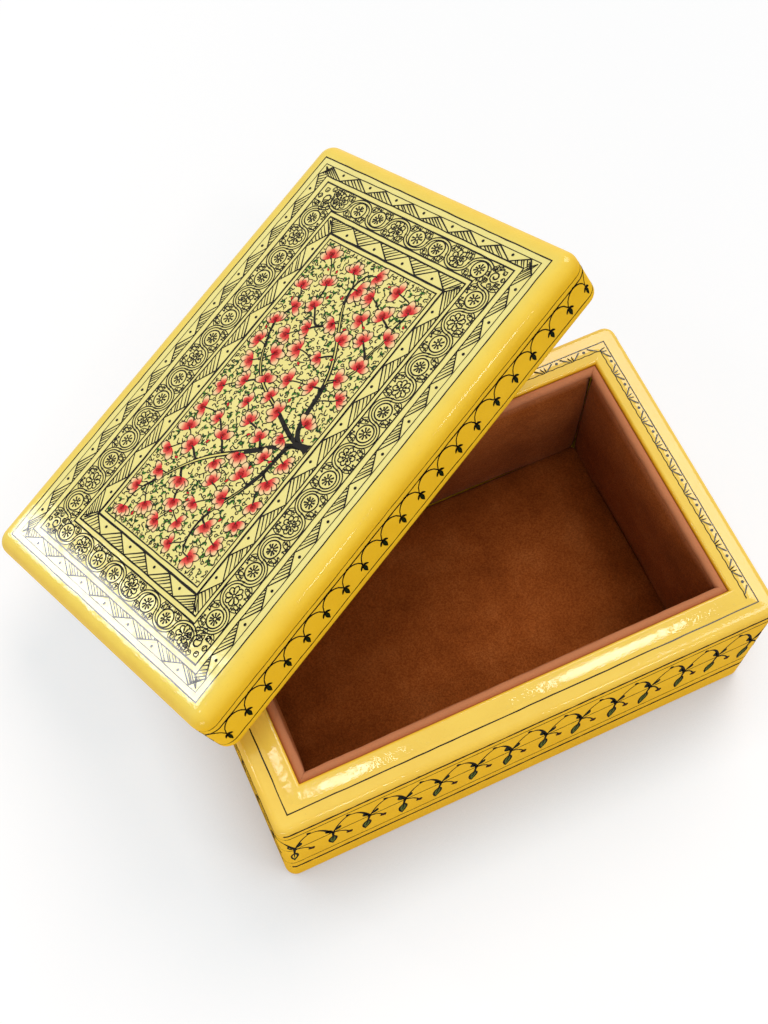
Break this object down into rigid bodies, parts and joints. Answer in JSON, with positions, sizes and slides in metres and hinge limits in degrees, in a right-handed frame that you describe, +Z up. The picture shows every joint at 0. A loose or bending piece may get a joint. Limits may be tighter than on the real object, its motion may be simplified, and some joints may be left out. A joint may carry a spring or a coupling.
{
  "type": "papier mache box",
  "caption": "Lacquered papier mache box with an open-topped case, a raised collar, a padded suede lining and a lift-off lid, shown with the lid leaning askew across the rim.",
  "frame": {"origin": "centre of the flat underside of the case", "axes": "+X along the long side, -Y is the front, +Z up; the case stands on Z = 0 and the lid leans across its left and back rims"},
  "size_m": [0.2272, 0.2205, 0.1336],
  "materials": {
    "case_lacquer": "glossy lacquer over painted papier mache",
    "lid_lacquer": "glossy lacquer over painted papier mache",
    "suede": "brushed suede cloth over thin padding"
  },
  "bodies": {
    "case": {"base_case": "case_lacquer", "base_collar": "case_lacquer", "lining_front": "suede", "lining_back": "suede", "lining_left": "suede", "lining_right": "suede", "lining_floor": "suede"},
    "lid": {"lid_shell": "lid_lacquer", "lid_lining": "suede"}
  },
  "joints": [
    {"name": "lid_lift", "type": "slide", "parent": "case", "child": "lid", "axis": [0, 0, 1], "range_m": [0, 0.11]}
  ]
}
